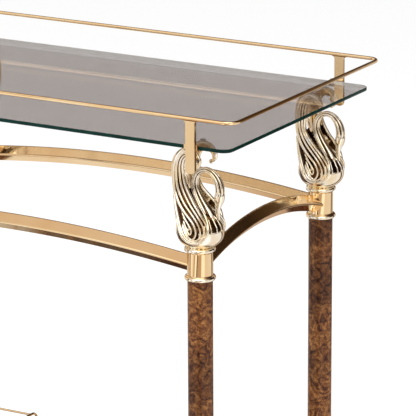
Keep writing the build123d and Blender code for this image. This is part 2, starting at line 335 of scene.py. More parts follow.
def turned_ring(profile):
    """Turns a closed (radius, height) outline about the Z axis."""
    shape, steps = Shape(), 96
    shape.vertices = turned_rows(profile, steps)
    shape.faces = grid_faces(len(profile), steps, closed_rows=True)
    return shape


# Keeps the poles of a ball just off the axis, where its rows would otherwise fall on one point
POLE = 1e-6


def ball(radius, rows, sides):
    """A small ball, its radius in millimetres."""
    profile = []
    for k in range(rows + 1):
        turn = pi * k / rows
        profile.append((radius * sin(turn) * MM + POLE, -radius * cos(turn) * MM))
    return lathe(profile, sides)


def sweep(points, ups, outline, closed=False):
    """Carries an outline along points; outline(i) gives (across, up) pairs at point i."""
    shape = Shape()
    count = len(points)
    for i in range(count):
        before = points[(i - 1) % count] if closed or i > 0 else points[i]
        after = points[(i + 1) % count] if closed or i < count - 1 else points[i]
        ahead = (Vector(after) - Vector(before)).normalized()
        across = ahead.cross(Vector(ups[i])).normalized()
        up = across.cross(ahead)
        for u, v in outline(i):
            shape.vertices.append(Vector(points[i]) + across * u + up * v)
    columns = len(outline(0))
    shape.faces = grid_faces(count, columns, closed_rows=closed)
    if not closed:
        shape.faces += end_faces(count, columns)
    return shape


# The signs of X and Y in the four quarters, anticlockwise
ROUND = ((1, 1), (-1, 1), (-1, -1), (1, -1))


def rounded_rectangle(length, width, radius, steps):
    """Corner points of a rectangle with round corners, anticlockwise."""
    points = []
    for corner, (sx, sy) in enumerate(ROUND):
        centre = (sx * (length / 2 - radius), sy * (width / 2 - radius))
        points += arc(centre, radius, pi / 2 * corner, pi / 2, steps)
    return points


# The least that a prism's corner normals lean into its sides, so that sharp corners don't run away
SHARPEST = 0.3


def prism(outline, low, high, bevel, steps=3):
    """A flat plate with rounded rims: outline points in the plane, low and high levels."""
    count = len(outline)
    turns = [pi / 2 * k / steps for k in range(steps + 1)]
    rows = [(bevel * (1 - sin(turn)), low + bevel * (1 - cos(turn))) for turn in turns]
    rows += [(bevel * (1 - cos(turn)), high - bevel * (1 - sin(turn))) for turn in turns]
    normals = []
    for i in range(count):
        before, after = Vector(outline[i - 1]), Vector(outline[(i + 1) % count])
        here = Vector(outline[i])
        first = (here - before).normalized()
        out = (first + (after - here).normalized()).normalized()
        normal = Vector((out.y, -out.x))
        normals.append(normal / max(normal.dot(Vector((first.y, -first.x))), SHARPEST))
    shape = Shape()
    for inset, level in rows:
        for i in range(count):
            p = Vector(outline[i]) - normals[i] * inset
            shape.vertices.append((p.x, p.y, level))
    shape.faces = grid_faces(len(rows), count) + end_faces(len(rows), count)
    return shape


def smooth_curve(points, count):
    """Points spread evenly along a natural cubic spline through the given ones."""
    knots = np.array(points, float)
    chord = np.linalg.norm(np.diff(knots, axis=0), axis=1)
    t = np.concatenate([[0], np.cumsum(chord)])
    n = len(knots)
    system = np.zeros((n, n))
    right = np.zeros_like(knots)
    system[0, 0] = system[-1, -1] = 1
    for i in range(1, n - 1):
        h0, h1 = t[i] - t[i - 1], t[i + 1] - t[i]
        system[i, i - 1 : i + 2] = h0, 2 * (h0 + h1), h1
        right[i] = 6 * ((knots[i + 1] - knots[i]) / h1 - (knots[i] - knots[i - 1]) / h0)
    bend = np.linalg.solve(system, right)
    result = []
    for s in np.linspace(0, t[-1], count):
        i = min(max(int(np.searchsorted(t, s)) - 1, 0), n - 2)
        h = t[i + 1] - t[i]
        a, b = (t[i + 1] - s) / h, (s - t[i]) / h
        curved = ((a**3 - a) * bend[i] + (b**3 - b) * bend[i + 1]) * h * h / 6
        result.append(a * knots[i] + b * knots[i + 1] + curved)
    return np.array(result)


# ---- swans

SWAN_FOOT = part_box("swan_front_right")[0].z
LEG_Y = box_centre("column_front_right").y

BULB = [(18.0, 0.0), (25.0, 5.5), (29.6, 13), (30.5, 21), (28.5, 30), (23, 39), (14, 47), (1.0, 51)]
BREAST_LINE = 24.0
# How much longer the body is in front than it is wide
CHEST = 1.09


def bulb_shape():
    """The body: smooth and pale up to the breast line, with painted shade where the feathers cover it.
    """
    outline = smooth_curve(BULB, 40)
    bulb = lathe([(r * MM, z * MM) for r, z in outline], steps=72)
    body = Shape()
    body.vertices = [(x * (CHEST if x > 0 else 1.0), y, z) for x, y, z in bulb.vertices]
    body.faces = bulb.faces
    for face in bulb.faces:
        forward, aside, height = (sum(bulb.vertices[i][k] for i in face) / len(face) for k in range(3))
        # Painted shade: the near-black gold goes on faces under the breast feathers and the wings.
        breast = height > BREAST_LINE * MM and forward > -5 * MM
        under_wing = height > 9 * MM and forward < 12 * MM and abs(aside) > 13 * MM
        painted_shade = breast or under_wing
        body.kinds.append(1 if painted_shade and len(face) == 4 else 0)
    return body


# Half-lengths and half-widths of the oval that the wings follow, and how square it is, by height
FLANK_Z = [0, 7, 20, 42, 70, 100, 125, 140]
FLANK_LONG = [18, 26, 30.5, 31, 34, 38, 38, 36]
FLANK_WIDE = [18, 26, 30.5, 27, 22.5, 21.5, 21.5, 20]


def flank(x, z):
    """How far out the wing's surface stands at (x, z), in millimetres."""
    long = np.interp(z, FLANK_Z, FLANK_LONG)
    wide = np.interp(z, FLANK_Z, FLANK_WIDE)
    square = np.interp(z, [30, 80], [2, 4])
    left = 1 - min(abs(x) / long, 0.995) ** square
    return wide * sqrt(left)


def flank_normal(x, z):
    """Which way the wing's surface faces at (x, z)."""
    step = 0.8
    slope_x = (flank(x + step, z) - flank(x - step, z)) / (2 * step)
    slope_z = (flank(x, z + step) - flank(x, z - step)) / (2 * step)
    return Vector((-slope_x, 1, -slope_z)).normalized()


# One wing's long feathers in millimetres, (x, z): from the tip of the curl, over the crest, down the
# back edge, across the flank and round the shoulder
BACK_FEATHER = [
    (7, 109), (11, 113), (12.8, 119), (11, 125.5), (6.5, 131), (0, 134.2), (-8, 134.6), (-16, 130.8),
    (-23, 124), (-28.2, 114), (-30.4, 103), (-30.6, 90), (-28.6, 76), (-22, 63.5), (-12, 52.5),
    (-3, 44.5), (5, 36.5), (8.6, 28), (7.6, 19.5), (3.2, 16.5), (-1, 21.5), (-5, 28), (-10, 36),
]
MIDDLE_FEATHER = [
    (7, 110.2), (10.2, 114), (11.2, 119), (9, 124.6), (4.2, 128.6), (-1.4, 130.2), (-8, 129.8),
    (-14.2, 126.4), (-18.8, 120), (-21.2, 112), (-21.6, 102), (-20.4, 88), (-16, 75.5), (-9.5, 65),
    (-1, 55.5), (7, 47), (13.5, 37), (16.4, 27), (15, 18.5), (8.5, 14.5), (0.5, 17.5), (-5, 24),
    (-11, 34),
]
FRONT_FEATHER = [
    (7.2, 111.8), (9.2, 114.8), (9.4, 118.6), (7.2, 122.6), (3, 125.4), (-2, 126.2), (-7, 124.6),
    (-10.8, 120.6), (-12.8, 114.8), (-13, 107.5), (-11.8, 99), (-8.8, 87), (-4, 77), (2.2, 67),
    (10, 56.5), (16.8, 46.5), (21, 37), (22.2, 26), (19, 16.5), (8.6, 11), (-2, 12.5), (-10, 19),
    (-16, 29),
]
# How far the inner wing's front feather stands back, to keep the neck's loop open
INNER_SET_BACK = 7.0
# Where the ridges of the long feathers run, from the back one to the front one, and how wide each is
# at these places along its length
FEATHER_SHARES = [0.07, 0.42, 0.73, 1.0]
FEATHER_SPOTS = [0.0, 0.12, 0.30, 0.45, 0.7, 1.0]
FEATHER_RIDGES = [
    [1.3, 2.9, 4.6, 3.4, 1.7, 1.2],
    [1.1, 1.4, 2.0, 1.8, 1.4, 1.1],
    [1.0, 1.2, 1.6, 1.6, 1.4, 1.1],
    [1.1, 1.3, 1.5, 1.6, 1.5, 1.2],
]


def feather_path(share, set_back):
    """The line of one long feather: 0 is the back one, 0.5 the middle one, 1 the front one."""
    back, middle, front = (np.array(f, float) for f in (BACK_FEATHER, MIDDLE_FEATHER, FRONT_FEATHER))
    if share <= 0.5:
        line = back + (middle - back) * share * 2
    else:
        line = middle + (front - middle) * (share - 0.5) * 2
    line[:, 0] -= set_back * share**2 * np.exp(-(((line[:, 1] - 78) / 19) ** 2))
    return line


def on_flank(line, lift):
    """Points and outward directions on the +Y wing's surface for (x, z) pairs."""
    ups = [flank_normal(x, z) for x, z in line]
    points = [(Vector((x, flank(x, z), z)) + up * lift) * MM for (x, z), up in zip(line, ups)]
    return points, ups


def ridge(points, ups, half_width, half_depth, sides=12, taper=0.07):
    """A smooth ridge along points; half_width(s) gives its size at s, 0 to 1, and both ends taper."""
    count = len(points)

    def outline(i):
        s = i / (count - 1)
        near = min(min(s, 1 - s) / taper, 1.0)
        size = max(sqrt(1 - (1 - near) ** 2), 0.12)
        wide, deep = half_width(s) * size * MM, half_depth * size * MM
        return oval(wide, deep, sides)

    return sweep(points, ups, outline)


def strand(path, half_width, half_depth, lift, count):
    """A ridge along (x, z) points on the flank, for the +Y wing."""
    points, ups = on_flank(smooth_curve(path, count), lift)
    return ridge(points, ups, lambda s: half_width, half_depth)


def wing_web(set_back):
    """The blade under the long feathers, with painted shade on its outer side where the valleys show."""
    rows, columns, thick = 84, 9, 3.4
    outer, inner = [], []
    for j in range(columns):
        line = smooth_curve(feather_path(j / (columns - 1), set_back), rows)
        points, ups = on_flank(line, -0.9)
        outer.append(points)
        inner.append([p - up * thick * MM for p, up in zip(points, ups)])
    web = Shape()
    ring = 2 * columns
    for i in range(rows):
        web.vertices += [outer[j][i] for j in range(columns)]
        web.vertices += [inner[j][i] for j in reversed(range(columns))]
    web.faces = grid_faces(rows, ring) + end_faces(rows, ring)
    # Painted shade on the blade's outer faces.
    row_kinds = [1 if j < columns - 1 else 0 for j in range(ring)]
    web.kinds = row_kinds * (rows - 1) + [0, 0]
    return web


# The wing's outer line: from the side of the neck, round the breast and under the wing, (x, y, z)
OUTER_LINE = [
    (-6.4, 5.4, 76), (-3.2, 6.0, 68), (0.5, 7.0, 61.5), (5.5, 8.8, 55), (11.5, 11.5, 49.5),
    (18.5, 15.5, 42.5), (23.5, 19.5, 34.5), (24.5, 22.5, 26), (21.5, 24.2, 18.3), (15.2, 25.2, 12.2),
    (7.5, 26.2, 9.4), (-0.7, 26.8, 10), (-7.6, 28, 14), (-12.6, 27.6, 19.5), (-16.5, 26.2, 26),
    (-19.5, 24.5, 33.5), (-23, 21.5, 41),
]


def outer_line():
    """The ridge that edges the wing."""
    line = smooth_curve(OUTER_LINE, 84)
    points = [Vector(p) * MM for p in line]
    ups = [Vector((x * 0.6, y, (z - 30) * 0.3)).normalized() for x, y, z in line]
    return ridge(points, ups, lambda s: np.interp(s, [0, 0.3, 1], [1.3, 1.9, 1.7]), 1.9)


def bulb_reach(z):
    """The body's radius at a height."""
    return float(np.interp(z, [p[1] for p in BULB], [p[0] for p in BULB]))


def breast_shape():
    """Fine feathers from the foot of the neck down to the breast line, and that line's ridge."""
    breast = Shape()
    for k in range(-3, 4):
        turn = radians(17.0 * k)
        line = []
        for z in np.linspace(44 - abs(k), BREAST_LINE - 1.0, 16):
            reach = bulb_reach(z) + 0.5
            line.append((CHEST * reach * cos(turn), reach * sin(turn), z))
        ups = [Vector((x, y, 4)).normalized() for x, y, z in line]
        points = [Vector(p) * MM for p in line]
        breast.join(ridge(points, ups, lambda s: 1.15, 1.3, taper=0.12))
    line = []
    for degrees_round in np.linspace(-66, 66, 48):
        turn = radians(degrees_round)
        z = BREAST_LINE - 0.0016 * degrees_round**2
        reach = bulb_reach(z) + 0.2
        line.append((CHEST * reach * cos(turn), reach * sin(turn), z))
    points = [Vector(p) * MM for p in line]
    ups = [Vector((x, y, 0)).normalized() for x, y, z in line]
    breast.join(ridge(points, ups, lambda s: 1.0, 1.0))
    return breast


# The short feathers that curl up inside the long ones at the shoulder, (x, z)
SHOULDER_LOOP = [
    (-10, 45), (-3, 38), (2.6, 31), (4.0, 26), (2.4, 22.5), (-0.6, 25.5), (-4, 31), (-9, 40),
]
SHOULDER_CORE = [(-12, 50), (-5, 41), (0.2, 33), (0.8, 28.5), (-2, 29.5), (-6, 36)]
# The short feathers up the wing's back edge, and the hollows between them and the long ones, in painted
# shade
REAR_FEATHERS = [
    [(-14, 24), (-18.5, 34), (-23, 46), (-27.5, 60), (-30.5, 72)],
    [(-10, 22), (-14.5, 31), (-19.5, 42), (-25, 54), (-29, 66)],
    [(-19, 28), (-22.5, 37), (-26, 48), (-29, 60)],
]
REAR_HOLLOWS = [
    [(-9, 32), (-15, 42), (-20.5, 53), (-25.5, 65), (-28.5, 76)],
    [(-12, 26), (-18, 36), (-23, 48), (-27, 60)],
]
CURL_TIP = (5.8, 110.6)


def wing_shape(set_back):
    """The +Y wing: a blade with long feathers, small ones round the shoulder, and the curl's tip."""
    wing = wing_web(set_back)
    for share, widths in zip(FEATHER_SHARES, FEATHER_RIDGES):
        line = smooth_curve(feather_path(share, set_back), 110)
        points, ups = on_flank(line, 0.2)
        wing.join(ridge(points, ups, lambda s: np.interp(s, FEATHER_SPOTS, widths), 2.3, taper=0.05))
    wing.join(strand(SHOULDER_LOOP, 1.3, 1.9, 0.4, count=40))
    wing.join(strand(SHOULDER_CORE, 1.0, 1.7, 0.4, count=40))
    wing.join(outer_line())
    for rear in REAR_FEATHERS:
        wing.join(strand(rear, 1.4, 2.0, 0.3, count=32))
    for under in REAR_HOLLOWS:
        hollow = strand(under, 4.2, 1.4, -1.2, count=32)
        # Painted shade in the hollow.
        hollow.kinds = [1] * len(hollow.faces)
        wing.join(hollow)
    tip_x, tip_z = CURL_TIP
    tip_at = Vector((tip_x, flank(tip_x, tip_z) - 1.2, tip_z)) * MM
    wing.join(ball(3.0, 16, 24), Matrix.Translation(tip_at))
    return wing


# Down the middle: the neck from the breast, up and back, over the loop and down to the beak, (x, z),
# and its half-width along that line, (share of the length, half-width)
NECK_LINE = [
    (19, 14), (17.8, 26), (15, 37), (10.2, 47.5), (3.6, 58), (-2.4, 68.5), (-6.6, 79.5), (-6.6, 91),
    (-0.6, 100.3), (8, 104.3), (17.5, 102.4), (25, 95.5), (29.6, 86), (30.8, 76.5), (30, 69),
    (28.4, 61.5), (27.2, 54), (27.2, 46), (28.2, 38.5),
]
NECK_WIDTH = [
    (0.0, 12), (0.08, 11.5), (0.15, 9.2), (0.22, 7.0), (0.30, 5.7), (0.38, 4.7), (0.46, 3.9),
    (0.54, 3.4), (0.60, 3.6), (0.67, 4.6), (0.74, 5.6), (0.79, 5.9), (0.815, 6.4), (0.85, 6.2),
    (0.88, 4.6), (0.905, 3.5), (0.95, 2.7), (1.0, 1.5),
]
HEAD_START = 0.80
NECK_RIDGES = 6


def neck_shape():
    """The neck with its running ridges over a core in painted shade, then the smooth head and beak."""
    count, sides = 150, 24
    line = smooth_curve(NECK_LINE, count)
    points = [Vector((x, 0, z)) * MM for x, z in line]
    shares, widths = zip(*NECK_WIDTH)
    side_way = Vector((0, 1, 0))
    lean = 0.1

    def width(i):
        return float(np.interp(i / (count - 1), shares, widths))

    def outline(i):
        s = i / (count - 1)
        flat = np.interp(s, [HEAD_START, 0.88, 1.0], [1.0, 0.85, 0.6])
        core = np.interp(s, [HEAD_START - 0.03, HEAD_START + 0.015], [1.3, -0.6])
        radius = width(i) - core
        return oval(radius * flat * MM, radius * MM, sides)

    core = sweep(points, [Vector((cos(lean), 0, sin(lean)))] * count, outline)
    head_row = int(HEAD_START * (count - 1))
    # Painted shade on the neck's core, up to the head.
    core.kinds = [1 if i < head_row - 2 else 0 for i in range(count - 1) for j in range(sides)] + [1, 0]
    neck = Shape().join(core)
    start, last = 6, head_row + 1

    def half_width(s):
        return 0.45 + 0.24 * width(start + s * (last - start))

    for k in range(NECK_RIDGES):
        turn = 2 * pi * (k + 0.5) / NECK_RIDGES
        path, ups = [], []
        for i in range(start, last + 1):
            ahead = (points[i + 1] - points[i - 1]).normalized()
            normal = ahead.cross(side_way)
            out = normal * cos(turn) + side_way * sin(turn)
            path.append(points[i] + out * (width(i) - 0.5) * MM)
            ups.append(out)
        neck.join(ridge(path, ups, half_width, 1.1, sides=10, taper=0.04))
    return neck


BROW = [(33.5, 4.2, 72.5), (31.6, 5.4, 70), (29.2, 5.6, 69.4), (27.0, 5.0, 67), (26.2, 4.2, 63.5)]
BEAK_ROOT = [(30.4, 4.4, 63.2), (29.0, 4.4, 61.4), (27.4, 4.1, 60.6), (25.6, 3.2, 60.8)]


def eye_shape(side):
    """One cheek: the eye, the brow over it and the ridge at the root of the beak."""
    eye_at = Vector((30.0, side * 5.1, 67.5)) * MM
    face = Shape().join(ball(1.1, 8, 16), Matrix.Translation(eye_at))
    for line, count, wide, deep in ((BROW, 20, 0.7, 0.8), (BEAK_ROOT, 16, 0.6, 0.7)):
        points = [Vector((x, side * y, z)) * MM for x, y, z in smooth_curve(line, count)]
        outward = [Vector((0, side, 0))] * count
        face.join(ridge(points, outward, lambda s: wide, deep, taper=0.2))
    return face


def tail_shape():
    """Short feathers up the back of the body between the two wings."""
    tail = Shape()
    for k in range(-2, 3):
        side = k * 5.2
        path = []
        for z in (10, 20, 32, 44, 54, 62 - abs(k) * 3):
            reach = bulb_reach(min(z, 38)) + 0.4
            path.append((-sqrt(max(reach**2 - side**2, 1)), side * (1 - z / 150), z))
        line = smooth_curve(path, 36)
        points = [Vector(p) * MM for p in line]
        ups = [Vector((p[0], p[1], 0)).normalized() for p in line]
        tail.join(ridge(points, ups, lambda s: 2.2, 2.4, taper=0.16))
    return tail


# Where the lug's middle stands, forward of the leg and above the swan's foot
LUG_X, LUG_Z = 0.0087, 0.121


def lug_shape():
    """The lug on the outer wing's curl that the gallery post is pinned to, for the -Y side."""
    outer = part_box("gallery_post_front_right")[1].y - LEG_Y
    radius, depth = 5 * MM, 0.018
    lug = prism(oval(radius, radius, 40), 0, depth, 0.0008)
    turn = Matrix.Rotation(pi / 2, 4, "X")
    return Shape().join(lug, Matrix.Translation((LUG_X, outer + depth, LUG_Z)) @ turn)


def swan_shape():
    """One swan facing +X with its outer side towards -Y, standing on the origin."""
    swan = bulb_shape()
    for side, set_back in ((1, INNER_SET_BACK), (-1, 0.0)):
        swan.join(wing_shape(set_back), Matrix.Diagonal((1, side, 1, 1)))
        swan.join(eye_shape(side))
    swan.join(breast_shape())
    swan.join(neck_shape())
    swan.join(tail_shape())
    swan.join(lug_shape())
    return swan


def make_swans():
    one = swan_shape()
    for corner, (sx, sy) in CORNERS.items():
        leg = box_centre(f"column_{corner}")
        matrix = Matrix.Translation((leg.x, leg.y, SWAN_FOOT)) @ Matrix.Diagonal((sx, -sy, 1, 1))
        shape = Shape().join(one, matrix)
        node = f"swan_{corner}"
        show(f"cast_{node}", shape, [CAST, PAINTED_SHADE_GOLD], [node], sharp=50)


make_swans()


# ---- frame pieces


def rounded_square(side, radius, steps, turned=0.0):
    """The outline of a square bar with softened edges, optionally standing on one corner."""
    turn = Matrix.Rotation(turned, 2)
    return [tuple(turn @ Vector(p)) for p in rounded_rectangle(side, side, radius, steps)]


def held(outline, margin):
    """Adds points near the ends of an outline's long sides, so that they stay flat in the shading."""
    result = []
    for i, point in enumerate(outline):
        here, after = Vector(point), Vector(outline[(i + 1) % len(outline)])
        result.append(point)
        if (after - here).length > 4 * margin:
            step = (after - here).normalized() * margin
            result += [tuple(here + step), tuple(after - step)]
    return result


COLUMN_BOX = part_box("column_front_right")
COLLAR_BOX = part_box("upper_collar_front_right")
COLLAR_RADIUS = (COLLAR_BOX[1].x - COLLAR_BOX[0].x) / 2
COLUMN_RADIUS = (COLUMN_BOX[1].x - COLUMN_BOX[0].x) / 2
LEG = box_centre("column_front_right")
BORE = 0.013
COLLAR_RIM = 0.0006
COLUMN_RIM = 0.0005


def tube_profile(radius, low, high, bore, soft):
    """A closed outline for a tube with softened outer rims."""
    foot = arc((radius - soft, low + soft), soft, -pi / 2, pi / 2, 4)
    head = arc((radius - soft, high - soft), soft, 0, pi / 2, 4)
    return [(bore, low)] + foot + head + [(bore, high)]


def bead_profile(low, high, reach, bore):
    """A turned ring: a half-round bead between two fine fillets."""
    half = (high - low) / 2
    middle = (high + low) / 2
    rim = 0.0009
    bulge = half - rim
    bead = arc((reach - bulge, middle), bulge, -pi / 2, pi, 16)
    return [(bore, low), (reach - half, low)] + bead + [(reach - half, high), (bore, high)]


def make_legs():
    """The columns, their collars and the beaded rings above and below each collar."""
    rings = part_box("collar_rings")
    ring_reach = rings[1].x - LEG.x
    lower_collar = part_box("lower_collar_front_right")
    ring_levels = [
        (rings[0].z, lower_collar[0].z),
        (lower_collar[1].z, COLUMN_BOX[0].z),
        (COLUMN_BOX[1].z, COLLAR_BOX[0].z),
        (COLLAR_BOX[1].z, SWAN_FOOT),
    ]
    beads = Shape()
    for low, high in ring_levels:
        ring = turned_ring(bead_profile(low, high, ring_reach, BORE))
        for corner in CORNERS:
            leg = box_centre(f"column_{corner}")
            beads.join(ring, Matrix.Translation((leg.x, leg.y, 0)))
    show("beaded_rings", beads, [CAST], ["collar_rings"])
    for corner in CORNERS:
        leg = box_centre(f"column_{corner}")
        place_at = Matrix.Translation((leg.x, leg.y, 0))
        for kind in ("upper_collar", "lower_collar"):
            low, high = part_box(f"{kind}_{corner}")
            tube = turned_ring(tube_profile(COLLAR_RADIUS, low.z, high.z, BORE, COLLAR_RIM))
            show(f"turned_{kind}_{corner}", Shape().join(tube, place_at), [BRASS], [f"{kind}_{corner}"])
        low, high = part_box(f"column_{corner}")
        tube = turned_ring(tube_profile(COLUMN_RADIUS, low.z, high.z, BORE, COLUMN_RIM))
        column = Shape().join(tube, place_at)
        show(f"burl_column_{corner}", column, [BURL], [f"column_{corner}"])


STRETCHER_SIDE = 0.0175
STRETCHER_EDGE = 0.0021
# How near the ends of a bar's flat sides the extra points stand
HELD_MARGIN = 0.0005
# How far a stretcher's ends stop inside the line between the legs' middles
BURIED = 0.008
# An upper stretcher's rise in the middle, and how far its ends drop below the collar's middle
LONG_ARCH = (0.0195, 0.0044)
SHORT_ARCH = (0.0303, 0.0060)


def arch(span, rise, drop, level):
    """Points along X on a circular arch between two legs, stopping inside the collars."""
    if rise == 0:
        reach = span / 2 - BURIED
        return [(-reach, 0, level), (reach, 0, level)]
    radius = (span**2 / 4 + rise**2) / (2 * rise)
    floor = level - drop - sqrt(radius**2 - span**2 / 4)
    half_turn = asin((span / 2 - BURIED) / radius)
    count = 80
    turns = [-half_turn + 2 * half_turn * k / count for k in range(count + 1)]
    return [(radius * sin(turn), 0, floor + radius * cos(turn)) for turn in turns]


def make_stretchers():
    """Four arched bars between the upper collars and four straight ones between the lower ones."""
    outline = held(rounded_square(STRETCHER_SIDE, STRETCHER_EDGE, steps=6, turned=pi / 4), HELD_MARGIN)
    span_x, span_y = 2 * abs(LEG.x), 2 * abs(LEG.y)
    upper = box_centre("upper_collar_front_right").z
    lower = box_centre("lower_collar_front_right").z
    for name, side in (("front", -1), ("back", 1), ("left", -1), ("right", 1)):
        along_end = name in ("left", "right")
        span = span_y if along_end else span_x
        rise, drop = SHORT_ARCH if along_end else LONG_ARCH
        if along_end:
            place_at = Matrix.Translation((side * span_x / 2, 0, 0)) @ Matrix.Rotation(pi / 2, 4, "Z")
        else:
            place_at = Matrix.Translation((0, side * span_y / 2, 0))
        arched, straight = arch(span, rise, drop, upper), arch(span, 0, 0, lower)
        for kind, points in (("upper", arched), ("lower", straight)):
            bar = sweep(points, [Vector((0, 0, 1))] * len(points), lambda i: outline)
            node = f"{kind}_stretcher_{name}"
            show(f"square_{node}", Shape().join(bar, place_at), [BRASS], [node], sharp=18)


RAIL_EDGE = 0.0022
RAIL_CORNER = 0.018
POST_WIDTH = 0.014
POST_FLARE = 0.0043
POST_END = 0.005
CLIP_WIDTH = 0.020
CLIP_TONGUE = 0.010


def make_rail():
    """The closed loop of square bar."""
    low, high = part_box("gallery_rail")
    bar = high.z - low.z
    size = high - low
    level = (low.z + high.z) / 2
    corners = rounded_rectangle(size.x - bar, size.y - bar, RAIL_CORNER - bar / 2, steps=14)
    path = [Vector((x, y, level)) for x, y in corners]
    outline = rounded_square(bar, RAIL_EDGE, steps=8)
    rail = sweep(path, [Vector((0, 0, 1))] * len(path), lambda i: outline, closed=True)
    show("gallery_rail_bar", rail, [BRASS], ["gallery_rail"], sharp=18)


def make_posts():
    """The flat posts, round at the foot and flared under the rail."""
    post_low, post_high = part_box("gallery_post_front_right")
    height = post_high.z - post_low.z
    inner = POST_WIDTH / 2 - POST_END
    outer = POST_WIDTH / 2 + POST_FLARE
    under = height - POST_FLARE
    quarter, steps = pi / 2, 8
    face = (
        arc((-inner, POST_END), POST_END, pi, quarter, steps)
        + arc((inner, POST_END), POST_END, 1.5 * pi, quarter, steps)
        + arc((outer, under), POST_FLARE, pi, -quarter, steps)
        + arc((-outer, under), POST_FLARE, quarter, -quarter, steps)
    )
    plate = prism(face, 0, post_high.y - post_low.y, 0.0004, steps=2)
    centre_x = (post_low.x + post_high.x) / 2
    stand = Matrix.Translation((0, 0, post_low.z)) @ Matrix.Rotation(pi / 2, 4, "X")
    front_right = Matrix.Translation((centre_x, post_high.y, 0)) @ stand
    for corner, (sx, sy) in CORNERS.items():
        mirror = Matrix.Diagonal((sx, -sy, 1, 1))
        post = Shape().join(plate, mirror @ front_right)
        show(f"flat_post_{corner}", post, [BRASS], [f"gallery_post_{corner}"], sharp=18)


def make_clips():
    """The angles that hold the glass behind the posts: a lip beside its edge, a tongue under it."""
    low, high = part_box("glass_clips")
    thick, corner, rim = 0.0016, 0.0006, 0.0003
    lip_height = high.z - low.z
    lip_out = abs(low.y)
    lip_in = abs(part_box("top_glass")[0].y)
    clip_x = high.x - CLIP_WIDTH / 2
    lip_face = rounded_rectangle(CLIP_WIDTH, lip_height, corner, 3)
    lip = prism(lip_face, 0, lip_out - lip_in, rim, steps=2)
    tongue_face = rounded_rectangle(CLIP_WIDTH, CLIP_TONGUE, corner, 3)
    tongue = prism(tongue_face, 0, thick, rim, steps=2)
    upright = Matrix.Rotation(pi / 2, 4, "X")
    angle = Shape()
    angle.join(lip, Matrix.Translation((clip_x, -lip_in, low.z + lip_height / 2)) @ upright)
    angle.join(tongue, Matrix.Translation((clip_x, -lip_out + CLIP_TONGUE / 2, low.z)))
    clips = Shape()
    for sx, sy in CORNERS.values():
        clips.join(angle, Matrix.Diagonal((sx, -sy, 1, 1)))
    show("glass_clip_angles", clips, [BRASS], ["glass_clips"], sharp=18)


GLASS_ARRIS = 0.0005
GLASS_CORNER = 0.014
# The round notch that clears each leg in the lower sheet
NOTCH = 0.026


def open_pane(outline, low, high):
    """The two faces of a sheet; and its edge wall, with arrises and a lining of painted light inside it.
    """
    sheet = prism(outline, low, high, GLASS_ARRIS, steps=1)
    count = len(outline)
    faces, wall = Shape(), Shape()
    faces.vertices = wall.vertices = sheet.vertices
    faces.faces = sheet.faces[3 * count :]
    wall.faces = sheet.faces[: 3 * count]
    for i in range(count):
        j = (i + 1) % count
        wall.faces.append((i, j, 3 * count + j, 3 * count + i))
    # The lining's faces take the pale painted light.
    wall.kinds = [0] * (3 * count) + [1] * count
    return faces, wall


def show_sheet(node, outline, edge_sharp):
    """One glass sheet as two pieces: the pane and its edge."""
    low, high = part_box(node)
    faces, wall = open_pane(outline, low.z, high.z)
    show(f"{node}_pane", faces, [GLASS], [node], sharp=20)
    show(f"{node}_edge", wall, [EDGE, PAINTED_LIGHT_LINING], [node], sharp=edge_sharp)


def make_glass():
    """The top sheet, with round corners, and the lower one, with a notch for each leg."""
    low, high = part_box("top_glass")
    size = high - low
    show_sheet("top_glass", rounded_rectangle(size.x, size.y, GLASS_CORNER, 12), 60)

    low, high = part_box("lower_glass")
    outline = []
    leg = Vector((abs(LEG.x), abs(LEG.y)))
    for sx, sy in ROUND:
        over_x = high.x - leg.x
        over_y = high.y - leg.y
        start = Vector((over_x, -sqrt(NOTCH**2 - over_x**2)))
        end = Vector((-sqrt(NOTCH**2 - over_y**2), over_y))
        first = atan2(start.y, start.x)
        last = atan2(end.y, end.x) - 2 * pi
        bite = [(sx * x, sy * y) for x, y in arc(leg, NOTCH, first, last - first, 24)]
        outline += bite if sx * sy > 0 else bite[::-1]
    show_sheet("lower_glass", outline, 40)


def round_bar(points, radius, up=Vector((0, 0, 1))):
    """A round wire or rod along points."""
    ring = oval(radius, radius, 20)
    return sweep(points, [up] * len(points), lambda i: ring)


def make_rack():
    """The bottle rack: two hoops joined by rails and dividers, with crossbars across each hoop."""
    wire, rod, corner = 0.0016, 0.0019, 0.012
    lane, foot = 0.127, 0.114
    inner_low, inner_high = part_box("rack_frame_inner")
    outer_low, outer_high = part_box("rack_frame_outer")
    for name, (low, high) in (("inner", (inner_low, inner_high)), ("outer", (outer_low, outer_high))):
        x = (low.x + high.x) / 2
        reach, crown = high.y - rod, high.z - rod
        half = [(reach, low.z)] + arc((reach - corner, crown - corner), corner, 0, pi / 2, 12)
        points = [(x, -y, z) for y, z in half] + [(x, y, z) for y, z in reversed(half)]
        hoop = round_bar(points, rod, up=Vector((1, 0, 0)))
        show(f"rack_hoop_{name}", hoop, [BRASS], [f"rack_frame_{name}"])
    x_in = (inner_low.x + inner_high.x) / 2
    x_out = (outer_low.x + outer_high.x) / 2
    top = inner_high.z - rod
    reach = inner_high.y - rod
    rails_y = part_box("rack_dividers")[1].y - wire
    layouts = {
        "rack_rails": [(lane, top), (-lane, top), (reach, foot), (-reach, foot)],
        "rack_dividers": [(rails_y, top), (-rails_y, top)],
    }
    for node, places in layouts.items():
        wires = Shape()
        for y, z in places:
            wires.join(round_bar([(x_out, y, z), (x_in, y, z)], wire))
        show(f"{node}_wire", wires, [BRASS], [node])
    bars = Shape()
    level = box_centre("rack_crossbars").z
    for x in (x_in, x_out):
        bars.join(round_bar([(x, -reach, level), (x, reach, level)], wire))
    show("rack_crossbars_wire", bars, [BRASS], ["rack_crossbars"])


